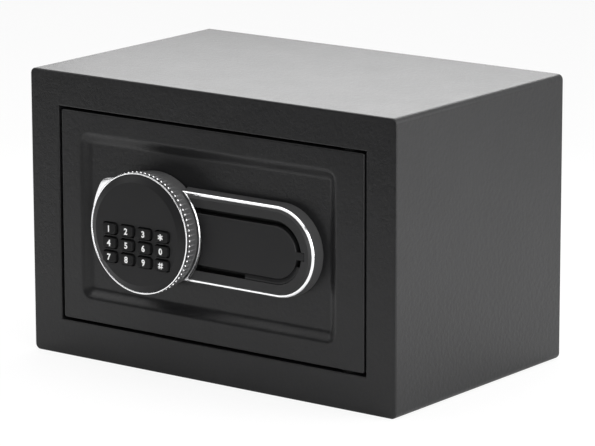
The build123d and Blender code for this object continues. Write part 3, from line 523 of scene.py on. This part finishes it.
def repeat_tree():
    """Puts a piece on every point of a mesh, then makes it one mesh with one finish."""
    tree = bpy.data.node_groups.new("repeat_on_points", "GeometryNodeTree")
    sockets = tree.interface
    sockets.new_socket("Points", in_out="INPUT", socket_type="NodeSocketGeometry")
    for name, kind in (("Repeated Piece", "Object"), ("Finish", "Material"), ("Turn", "Rotation"),
                       ("Size", "Float")):
        sockets.new_socket(name, in_out="INPUT", socket_type="NodeSocket" + kind)
    sockets.new_socket("Result", in_out="OUTPUT", socket_type="NodeSocketGeometry")
    given = tree.nodes.new("NodeGroupInput")
    result = tree.nodes.new("NodeGroupOutput")
    info = tree.nodes.new("GeometryNodeObjectInfo")
    info.transform_space = "ORIGINAL"
    spread = tree.nodes.new("GeometryNodeInstanceOnPoints")
    real = tree.nodes.new("GeometryNodeRealizeInstances")
    paint = tree.nodes.new("GeometryNodeSetMaterial")
    link = tree.links.new
    link(given.outputs["Points"], spread.inputs["Points"])
    link(given.outputs["Repeated Piece"], info.inputs["Object"])
    link(info.outputs["Geometry"], spread.inputs["Instance"])
    link(given.outputs["Turn"], spread.inputs["Rotation"])
    link(given.outputs["Size"], spread.inputs["Scale"])
    link(spread.outputs["Instances"], real.inputs["Geometry"])
    link(real.outputs["Geometry"], paint.inputs["Geometry"])
    link(given.outputs["Finish"], paint.inputs["Material"])
    link(paint.outputs["Geometry"], result.inputs["Result"])
    return tree


def circle_tree():
    """Beads on part of a circle round the dial's axis."""
    tree = bpy.data.node_groups.new("beads_on_circle", "GeometryNodeTree")
    sockets = tree.interface
    for name, kind in (("Count", "Int"), ("First Angle", "Float"), ("Angle Step", "Float"),
                       ("Ring Radius", "Float"), ("Bead Radius", "Float"), ("Centre", "Vector"),
                       ("Finish", "Material")):
        sockets.new_socket(name, in_out="INPUT", socket_type="NodeSocket" + kind)
    sockets.new_socket("Result", in_out="OUTPUT", socket_type="NodeSocketGeometry")
    link = tree.links.new
    given = tree.nodes.new("NodeGroupInput")
    result = tree.nodes.new("NodeGroupOutput")

    def maths(operation, *values):
        made = tree.nodes.new("ShaderNodeMath")
        made.operation = operation
        for value, socket in zip(values, made.inputs):
            link(value, socket)
        return made.outputs[0]

    points = tree.nodes.new("GeometryNodePoints")
    link(given.outputs["Count"], points.inputs["Count"])
    index = tree.nodes.new("GeometryNodeInputIndex").outputs[0]
    swept = maths("MULTIPLY", index, given.outputs["Angle Step"])
    angle = maths("ADD", swept, given.outputs["First Angle"])
    place = tree.nodes.new("ShaderNodeCombineXYZ")
    link(maths("MULTIPLY", maths("COSINE", angle), given.outputs["Ring Radius"]), place.inputs["X"])
    link(maths("MULTIPLY", maths("SINE", angle), given.outputs["Ring Radius"]), place.inputs["Z"])
    moved = tree.nodes.new("ShaderNodeVectorMath")
    link(place.outputs[0], moved.inputs[0])
    link(given.outputs["Centre"], moved.inputs[1])
    link(moved.outputs[0], points.inputs["Position"])
    ball = tree.nodes.new("GeometryNodeMeshIcoSphere")
    ball.inputs["Subdivisions"].default_value = 3
    link(given.outputs["Bead Radius"], ball.inputs["Radius"])
    soft = tree.nodes.new("GeometryNodeSetShadeSmooth")
    link(ball.outputs["Mesh"], soft.inputs["Geometry"])
    spread = tree.nodes.new("GeometryNodeInstanceOnPoints")
    link(points.outputs[0], spread.inputs["Points"])
    link(soft.outputs[0], spread.inputs["Instance"])
    real = tree.nodes.new("GeometryNodeRealizeInstances")
    link(spread.outputs[0], real.inputs[0])
    paint = tree.nodes.new("GeometryNodeSetMaterial")
    link(real.outputs[0], paint.inputs["Geometry"])
    link(given.outputs["Finish"], paint.inputs["Material"])
    link(paint.outputs[0], result.inputs["Result"])
    return tree


def grown(name, tree, sizes, points=None):
    """Runs a geometry tree on a mesh of points and keeps its result as a plain mesh."""
    carrier = bpy.data.meshes.new(name + "_points")
    carrier.from_pydata(points or [(0, 0, 0)], [], [])
    source = placed(name + "_source", carrier)
    modifier = source.modifiers.new("grow", "NODES")
    modifier.node_group = tree
    inputs = [item for item in tree.interface.items_tree if item.in_out == "INPUT"]
    sockets = {item.name: item.identifier for item in inputs}
    for size, value in sizes.items():
        modifier[sockets[size]] = value
    ready = source.evaluated_get(bpy.context.evaluated_depsgraph_get())
    mesh = bpy.data.meshes.new_from_object(ready)
    mesh.name = name
    source.modifiers.remove(modifier)
    bpy.data.objects.remove(source)
    return placed(name, mesh)


# The dial's bright ring, its pointer and its beads

def dial_ring():
    """The turned ring: a bright rim, and behind it the neck that carries the beads."""
    corners = [(40.4, 0.6), (40.8, 0.0), (41.7, 0.0), (41.8, 1.7), (40.7, 2.0), (40.4, 2.0)]
    rim = piece("dial_rim", turned(rounded_profile(corners, 0.25)), chrome, 50)
    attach(rim, "dial")
    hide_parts("dial_ring")
    corners = [(38.4, 2.01), (40.6, 2.01), (40.9, 2.3), (40.9, neck_end), (38.4, neck_end)]
    neck = piece("dial_neck", turned(rounded_profile(corners, 0.2)), skirt_finish, 50)
    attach(neck, "dial")


def dial_cup():
    """The cup behind the ring: a straight skirt with ridges that run back from the beads."""
    neck_back = neck_end + 0.02
    profile = [
        (2.6, 21.3), (2.6, 19.1), (37.2, 19.1), (37.2, 9.0), (37.8, 8.9), (37.8, neck_back),
        (41.0, neck_back), (41.2, 4.9), (41.15, 6.5), (41.1, 8.0), (41.05, 9.6), (41.0, flute_end),
        (40.95, 12.0), (40.85, 12.2), (40.2, 12.35), (39.75, 20.9), (39.4, 21.3)]
    across = [0, 0.2, 0.8, 1, 1, 1, 0.8, 0.2]
    count = bead_count * len(across)
    rings = []
    for step in range(count):
        ring = []
        for radius, depth in profile:
            cut = 0
            if radius > 40.9 and depth <= flute_end:
                fade = 1 - (depth - neck_end) / (flute_end - neck_end)
                cut = flute_cut * across[step % len(across)] * fade
            ring.append(on_dial(radius - cut, depth, 2 * pi * step / count))
        rings.append(ring)
    cup = piece("dial_cup", stacked(rings, True), skirt_finish, 30)
    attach(cup, "dial")
    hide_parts("dial_body")


def nib_radius(angle):
    """The pointer's crest, in millimetres from the dial's axis, at an angle in degrees."""
    crest = [
        (118, 41.6), (121, 41.95), (124.5, 42.9), (127, 44.0), (129.5, 44.95), (132, 45.55),
        (134.5, 45.7), (137.5, 45.3), (141, 44.6), (146.6, 43.75), (155, 42.6), (164, 41.6)]
    for (start, low), (end, high) in zip(crest, crest[1:]):
        if start <= angle <= end:
            share = (angle - start) / (end - start)
            return low + (high - low) * share
    return crest[-1][1]


def nib():
    """The pointer: a swelling of the ring that rises slowly and ends in a rounded nose."""
    nose, tail = 118, 164
    steps = 92
    spread = (-1.5, -0.75, 0, 0.75, 1.5)
    rings = []
    for step in range(steps + 1):
        angle = nose + (tail - nose) * step / steps
        near = [nib_radius(min(tail, max(nose, angle + aside))) for aside in spread]
        crest = sum(near) / len(near)
        section = rounded_profile([(40.6, 0.05), (crest, 0.05), (crest, 3.8), (40.6, 3.8)], 0.5, 4)
        rings.append([on_dial(radius, depth, radians(angle)) for radius, depth in section])
    made = piece("dial_pointer", stacked(rings), chrome, 50)
    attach(made, "dial")


def beads():
    """The satin beads behind the rim, which stop at the pointer."""
    pitch = 2 * pi / bead_count
    made = grown("dial_beads", circle_tree(), {
        "Count": 62, "First Angle": pitch * 33, "Angle Step": pitch, "Ring Radius": bead_ring * mm,
        "Bead Radius": bead_radius * mm, "Centre": (dial_x, rim_face + bead_setback * mm, lock_z),
        "Finish": satin_chrome})
    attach(made, "dial")


dial_ring()
dial_cup()
nib()
beads()


# Keys with their printed figures

def key_centre(index):
    """The middle of a key, as seen from the front."""
    row, column = divmod(index, 4)
    return dial_x + (column - 1.5) * key_pitch * mm, lock_z + (first_row - row_pitch * row) * mm


def key_cap(index, name):
    """A soft-edged cap with a very slightly crowned top, on its flange."""
    x, z = key_centre(index)
    # depths behind the key's face and insets from its sides, in millimetres
    levels = [(6.9, 3.8), (6.5, 3.8), (6.5, -1.5), (5.5, -1.5), (5.5, 0),
              (0.5, 0.01), (0.25, 0.06), (0.1, 0.16), (0.03, 0.3), (0, 0.6)]
    rings = []
    for depth, inset in levels:
        wide = key_width - 2 * inset
        high = key_height - 2 * min(inset, 1.9)
        if inset < 0:
            wide = flange_width
            high = flange_height
        radius = min(max(0.5, 1.7 - inset), high / 2 - 0.01)
        outline = rounded_box_outline(x, z, wide * mm, high * mm, radius * mm)
        rings.append([(px, key_face + depth * mm, pz) for px, pz in outline])
    cap = piece("key_cap_" + name, stacked(rings), key_rubber, 60)
    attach(cap, "key_" + name)
    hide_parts("key_" + name)


def number_mesh(name):
    """A bold figure, flat in X and Y."""
    curve = bpy.data.curves.new("figure_" + name, "FONT")
    curve.body = name
    curve.size = figure_size * mm
    curve.offset = figure_swell * mm
    curve.extrude = print_thickness / 2 * mm
    curve.resolution_u = 4
    text = placed("text_" + name, curve)
    mesh = bpy.data.meshes.new_from_object(text.evaluated_get(bpy.context.evaluated_depsgraph_get()))
    bpy.data.objects.remove(text)
    return mesh


def bars_mesh(name, stroke, bars):
    """A sign of bars, each with a middle, a length and an angle, and a little thicker than the last."""
    build = bmesh.new()
    for order, (x, y, length, angle) in enumerate(bars):
        made = bmesh.ops.create_cube(build, size=1)
        place = Matrix.Translation((x * mm, y * mm, 0)) @ Matrix.Rotation(radians(angle), 4, "Z")
        thick = print_thickness + 0.01 * order
        size = Matrix.Diagonal((length * mm, stroke * mm, thick * mm, 1))
        bmesh.ops.transform(build, verts=made["verts"], matrix=place @ size)
    mesh = bpy.data.meshes.new(name)
    build.to_mesh(mesh)
    build.free()
    return mesh


def key_print(index, name):
    """The white sign on a key."""
    if name == "star":
        mesh = bars_mesh(name, star_stroke, [(0, 0, star_length, angle) for angle in (30, 90, 150)])
    elif name == "hash":
        level = [(0, side * hash_spread, 4.3, 0) for side in (-1, 1)]
        leaning = [(side * hash_spread, 0, 4.5, 80) for side in (-1, 1)]
        mesh = bars_mesh(name, hash_stroke, level + leaning)
    else:
        mesh = number_mesh(name)
    across = [corner.co.x for corner in mesh.vertices]
    up = [corner.co.y for corner in mesh.vertices]
    low = Vector((min(across), min(up), 0))
    high = Vector((max(across), max(up), 0))
    x, z = key_centre(index)
    mesh.transform(Matrix.Translation((x, key_face - 0.015 * mm, z)) @ Matrix.Rotation(pi / 2, 4, "X")
                   @ Matrix.Translation(-(low + high) / 2))
    mesh.materials.clear()
    mesh.materials.append(print_ink)
    mesh.name = "key_print_" + name
    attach(placed("key_print_" + name, mesh), "key_" + name)


for index, name in enumerate(key_order):
    key_cap(index, name)
    key_print(index, name)


# The door

def door_skin():
    """The folded door sheet with its pressed recess, shaped with the soft shoulders of pressed steel."""
    low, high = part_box("door_panel")
    sheet = 2.0 * mm
    recess_depth = 4.0 * mm
    recess_corner = 6.8 * mm
    edge_radius = 0.9 * mm
    recess_low = (low.x + 18 * mm, low.z + 17.5 * mm)
    recess_high = (high.x - 24 * mm, high.z - 15.5 * mm)
    shoulder = 2.2 * mm
    foot = 6.6 * mm
    flat = 0.7 * mm
    inner_corner = 0.5 * mm
    spindle_hole = 9.05 * mm
    barrel_hole = 8.05 * mm
    pin_hole = 4.25 * mm

    def ring(corner_low, corner_high, inset, radius, y):
        wide = corner_high[0] - corner_low[0] - 2 * inset
        tall = corner_high[1] - corner_low[1] - 2 * inset
        x = (corner_low[0] + corner_high[0]) / 2
        z = (corner_low[1] + corner_high[1]) / 2
        return [(px, y, pz) for px, pz in rounded_box_outline(x, z, wide, tall, radius, 8)]

    def door_ring(inset, y, radius=1.5 * mm):
        return ring((low.x, low.z), (high.x, high.z), inset, radius, y)

    def recess_ring(share, back, beyond=0):
        inset = share * (shoulder + foot) - shoulder + beyond
        depth = recess_depth * share * share * (3 - 2 * share)
        corner = recess_corner - 0.85 * inset
        return ring(recess_low, recess_high, inset, corner, low.y + depth + back)

    steps = 16
    rings = [recess_ring(1, 0, flat)]
    rings += [recess_ring(step / steps, 0) for step in range(steps, -1, -1)]
    rings.append(recess_ring(0, 0, -flat))
    rings.append(door_ring(edge_radius + 0.5 * mm, low.y))
    for step in range(5):
        turn = pi / 2 * step / 4
        rings.append(door_ring(edge_radius * (1 - sin(turn)), low.y + edge_radius * (1 - cos(turn))))
    rings.append(door_ring(0, high.y))
    rings.append(door_ring(sheet, high.y, inner_corner))
    rings.append(door_ring(sheet, low.y + sheet, inner_corner))
    rings += [recess_ring(step / steps, sheet) for step in range(steps + 1)]
    rings.append(recess_ring(1, sheet, flat))
    skin = piece("door_skin", stacked(rings), powder, 40)
    hinge = frame_joint("door_hinge")
    backwards = Matrix.Rotation(pi / 2, 4, "X")
    cutters = bmesh.new()
    for radius, length, place in (
            (spindle_hole, 40 * mm, Matrix.Translation((dial_x, low.y, lock_z)) @ backwards),
            (barrel_hole, 40 * mm, Matrix.Translation((barrel_x, low.y, lock_z)) @ backwards),
            (pin_hole, 2 * lock_z, Matrix.Translation((hinge[0], hinge[1], lock_z)))):
        bmesh.ops.create_cone(cutters, cap_ends=True, segments=40, radius1=radius, radius2=radius,
                              depth=length, matrix=place)
    cut_away(skin, cutters)
    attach(skin, "door")
    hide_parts("door_panel")


door_skin()


# The bright line of the housing

def housing_outline(inset, steps=48):
    """Points round the housing drawn in by an inset, in millimetres, each marked True beside the dial."""
    half = housing_half - inset
    hollow = housing_hollow + inset
    axis_x = dial_x / mm
    corner_x = axis_x + sqrt(hollow ** 2 - half ** 2)
    run = corner_x - housing_end_x
    points = []
    for step in range(steps + 1):
        angle = -pi / 2 + pi * step / steps
        points.append((housing_end_x + half * cos(angle), half * sin(angle), False))
    shares = [step / 9 for step in range(1, 9)] + [0.985]
    points += [(housing_end_x + run * share, half, False) for share in shares]
    from_angle = asin(half / hollow)
    for step in range(steps + 1):
        angle = from_angle - 2 * from_angle * step / steps
        points.append((axis_x + hollow * cos(angle), hollow * sin(angle), True))
    points += [(housing_end_x + run * share, -half, False) for share in reversed(shares)]
    return points


def bezel_line():
    """A closed bright line with rounded shoulders round the housing's front edge."""
    outer = [(2.6, 1.3), (2.6, 0.06), (2.54, 0), (1.46, 0), (0.84, 0.6), (0.8, 0.7), (0.8, 1.3)]
    beside_dial = [(2.6, 1.3), (2.55, 1.05), (2.5, 1.0), (1.5, 0), (0.86, 0), (0.8, 0.06), (0.8, 1.3)]
    rings = []
    for (inset, drop), (dial_inset, dial_drop) in zip(outer, beside_dial):
        ring = []
        for plain, hollowed in zip(housing_outline(inset), housing_outline(dial_inset)):
            by_dial = plain[2]
            x, z, _ = hollowed if by_dial else plain
            depth = dial_drop if by_dial else drop
            ring.append((x * mm, bezel_face + depth * mm, lock_z + z * mm))
        rings.append(ring)
    line = piece("bezel_line", stacked(rings, True), chrome, 15)
    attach(line, "door")
    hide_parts("escutcheon_bezel")


bezel_line()


# The felt mat

def mat_sheet():
    """The felt cut to the cabinet's floor, with holes over the anchor points."""
    width = mat_width * mm
    length = mat_length * mm
    hole = mat_hole * mm
    corner = mat_corner * mm
    loops = [rounded_box_outline(0, 0, width, length, corner, 6)]
    angles = [2 * pi * step / 32 for step in range(32)]
    for side in (-1, 1):
        loops.append([(side * anchor_x * mm + hole * cos(angle), hole * sin(angle)) for angle in angles])
    build = bmesh.new()
    edges = []
    for loop in loops:
        corners = [build.verts.new((x, y, cabinet_floor * mm)) for x, y in loop]
        edges += [build.edges.new((corners[step - 1], corners[step])) for step in range(len(corners))]
    bmesh.ops.triangle_fill(build, edges=edges, use_beauty=True)
    bmesh.ops.recalc_face_normals(build, faces=build.faces)
    made = bmesh.ops.extrude_face_region(build, geom=list(build.faces))
    for item in made["geom"]:
        if isinstance(item, bmesh.types.BMVert):
            item.co.z += mat_thickness * mm
    sheet = piece("felt_mat", build, felt_cloth, 40)
    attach(sheet, "cabinet")
    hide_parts("floor_mat")


mat_sheet()


# Screws

def screw_head(name, radius, height):
    """A domed cross-recessed screw head that looks along +Z."""
    angles = [2 * pi * step / 24 for step in range(24)]
    rings = []
    for level in range(7):
        climb = pi / 2 * level / 6
        reach = radius * (0.35 + 0.65 * cos(climb))
        rings.append([(reach * cos(angle), reach * sin(angle), height * sin(climb)) for angle in angles])
    head = piece(name, stacked(rings), zinc, 40)
    arm = radius * 0.55
    width = radius * 0.16
    cross = bmesh.new()
    for wide, high in ((arm, width), (width, arm)):
        made = bmesh.ops.create_cube(cross, size=2)
        size = Matrix.Diagonal((wide, high, height * 0.55, 1))
        bmesh.ops.transform(cross, verts=made["verts"], matrix=Matrix.Translation((0, 0, height)) @ size)
    cut_away(head, cross)
    return head


def cover_screws():
    """The screws of the inner cover, which look to the back."""
    screw = screw_head("screw_head", screw_radius * mm, screw_height * mm)
    places = [(x * mm, cover_back, z * mm) for x, z in ((-101, 100.5), (24, 60.5), (24, 142.5), (93, 60.5))]
    made = grown("cover_screws", repeat_tree(), {
        "Repeated Piece": screw, "Finish": zinc, "Turn": (-pi / 2, 0, 0), "Size": 1.0}, places)
    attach(made, "door")
    bpy.data.objects.remove(screw)


cover_screws()


# The setting, which isn't part of the safe

def floor():
    """A plain pale table top that keeps a soft shadow."""
    glow_share = 0.85
    place = Matrix.Rotation(radians(18), 4, "Z") @ Matrix.Translation((0, 0.7, 0))
    made = bmesh.new()
    bmesh.ops.create_grid(made, x_segments=1, y_segments=1, size=1)
    bmesh.ops.transform(made, verts=made.verts, matrix=place @ Matrix.Diagonal((2.2, 1.22, 1, 1)))
    ground = bpy.data.meshes.new("floor")
    made.to_mesh(ground)
    made.free()
    pale = Finish("pale_floor", Roughness=0.9, Specular_IOR_Level=0.1)
    pale.shader.inputs["Base Color"].default_value = (0.8, 0.8, 0.8, 1)
    glow = pale.node("ShaderNodeEmission", inputs={"Color": (1, 1, 1), "Strength": 1.0})
    seen = pale.node("ShaderNodeLightPath", out="Is Camera Ray")
    plain = Wire(pale, pale.shader.outputs[0])
    mixed = pale.node("ShaderNodeMixShader", inputs={0: glow_share * seen, 1: plain, 2: glow})
    pale.feed(pale.output.inputs[0], mixed)
    ground.materials.append(pale.material)
    placed("floor", ground)


def surroundings():
    """A white backdrop behind the safe and a dim room on the camera's side."""
    room_front = 0.05
    world = bpy.data.worlds.new("studio")
    bpy.context.scene.world = world
    world.use_nodes = True
    tree = world.node_tree
    tree.nodes.clear()
    link = tree.links.new
    out = tree.nodes.new("ShaderNodeOutputWorld")
    mix = tree.nodes.new("ShaderNodeMixShader")
    room = tree.nodes.new("ShaderNodeBackground")
    white = tree.nodes.new("ShaderNodeBackground")
    paths = tree.nodes.new("ShaderNodeLightPath")
    direct = tree.nodes.new("ShaderNodeMath")
    direct.operation = "MAXIMUM"
    place = tree.nodes.new("ShaderNodeTexCoord")
    split = tree.nodes.new("ShaderNodeSeparateXYZ")
    depth = tree.nodes.new("ShaderNodeMath")
    depth.operation = "MULTIPLY_ADD"
    depth.inputs[1].default_value = 0.5
    depth.inputs[2].default_value = 0.5
    ramp = tree.nodes.new("ShaderNodeValToRGB")
    for element, (position, tone) in zip(ramp.color_ramp.elements, ((0.3, room_front), (0.6, 1.0))):
        element.position = position
        element.color = (tone, tone, tone, 1)
    link(place.outputs["Generated"], split.inputs[0])
    link(split.outputs["Y"], depth.inputs[0])
    link(depth.outputs[0], ramp.inputs[0])
    link(ramp.outputs[0], room.inputs["Color"])
    room.inputs["Strength"].default_value = 1.0
    link(paths.outputs["Is Camera Ray"], direct.inputs[0])
    link(paths.outputs["Is Transmission Ray"], direct.inputs[1])
    white.inputs["Color"].default_value = (1, 1, 1, 1)
    link(direct.outputs[0], mix.inputs[0])
    link(room.outputs[0], mix.inputs[1])
    link(white.outputs[0], mix.inputs[2])
    link(mix.outputs[0], out.inputs[0])


def softbox(name, place, target, width, height, power):
    """A rectangular soft lamp."""
    lamp = bpy.data.lights.new(name, "AREA")
    lamp.shape = "RECTANGLE"
    lamp.size = width
    lamp.size_y = height
    lamp.energy = power
    made = placed(name, lamp)
    made.location = place
    made.rotation_euler = (Vector(target) - Vector(place)).to_track_quat("-Z", "Y").to_euler()
    made.visible_camera = False


def camera():
    """The photograph's point of view: from the right, a little above."""
    azimuth = radians(37.10)
    elevation = radians(12.83)
    roll = radians(-0.15)
    place = (1519.6 * mm, (-1909.7 - 97.5) * mm, 666.4 * mm)
    focal_pixels = 3738.4
    picture_width = 595
    ahead = Vector((-sin(azimuth) * cos(elevation), cos(azimuth) * cos(elevation), -sin(elevation)))
    right = ahead.cross(Vector((0, 0, 1))).normalized()
    up = right.cross(ahead)
    turned_right = cos(roll) * right + sin(roll) * up
    turned_up = cos(roll) * up - sin(roll) * right
    data = bpy.data.cameras.new("camera")
    data.sensor_fit = "HORIZONTAL"
    data.sensor_width = 36
    data.lens = focal_pixels * data.sensor_width / picture_width
    data.clip_start = 0.05
    data.clip_end = 50
    made = placed("camera", data)
    basis = Matrix((turned_right, turned_up, -ahead)).transposed().to_4x4()
    made.matrix_world = Matrix.Translation(place) @ basis
    bpy.context.scene.camera = made


floor()
surroundings()
softbox("top_softbox", (-0.2, -0.5, 1.6), (-0.2, -0.5, 0), 2.5, 2.2, 28)
softbox("back_softbox", (-0.26, 0.45, 0.45), (0, 0, 0.2), 0.6, 0.22, 1.7)
softbox("right_softbox", (0.9, 0.3, 0.45), (0.25, 0.1, 0), 0.5, 0.5, 5.5)
softbox("front_right_softbox", (1.35, -0.95, 0.45), (0, -0.1, 0.1), 1.2, 1.3, 20)
softbox("floor_softbox", (-0.4, -0.35, 0.35), (-0.3, -0.3, 0), 0.2, 0.2, 0.35)
camera()
bpy.context.scene.view_settings.view_transform = "Standard"
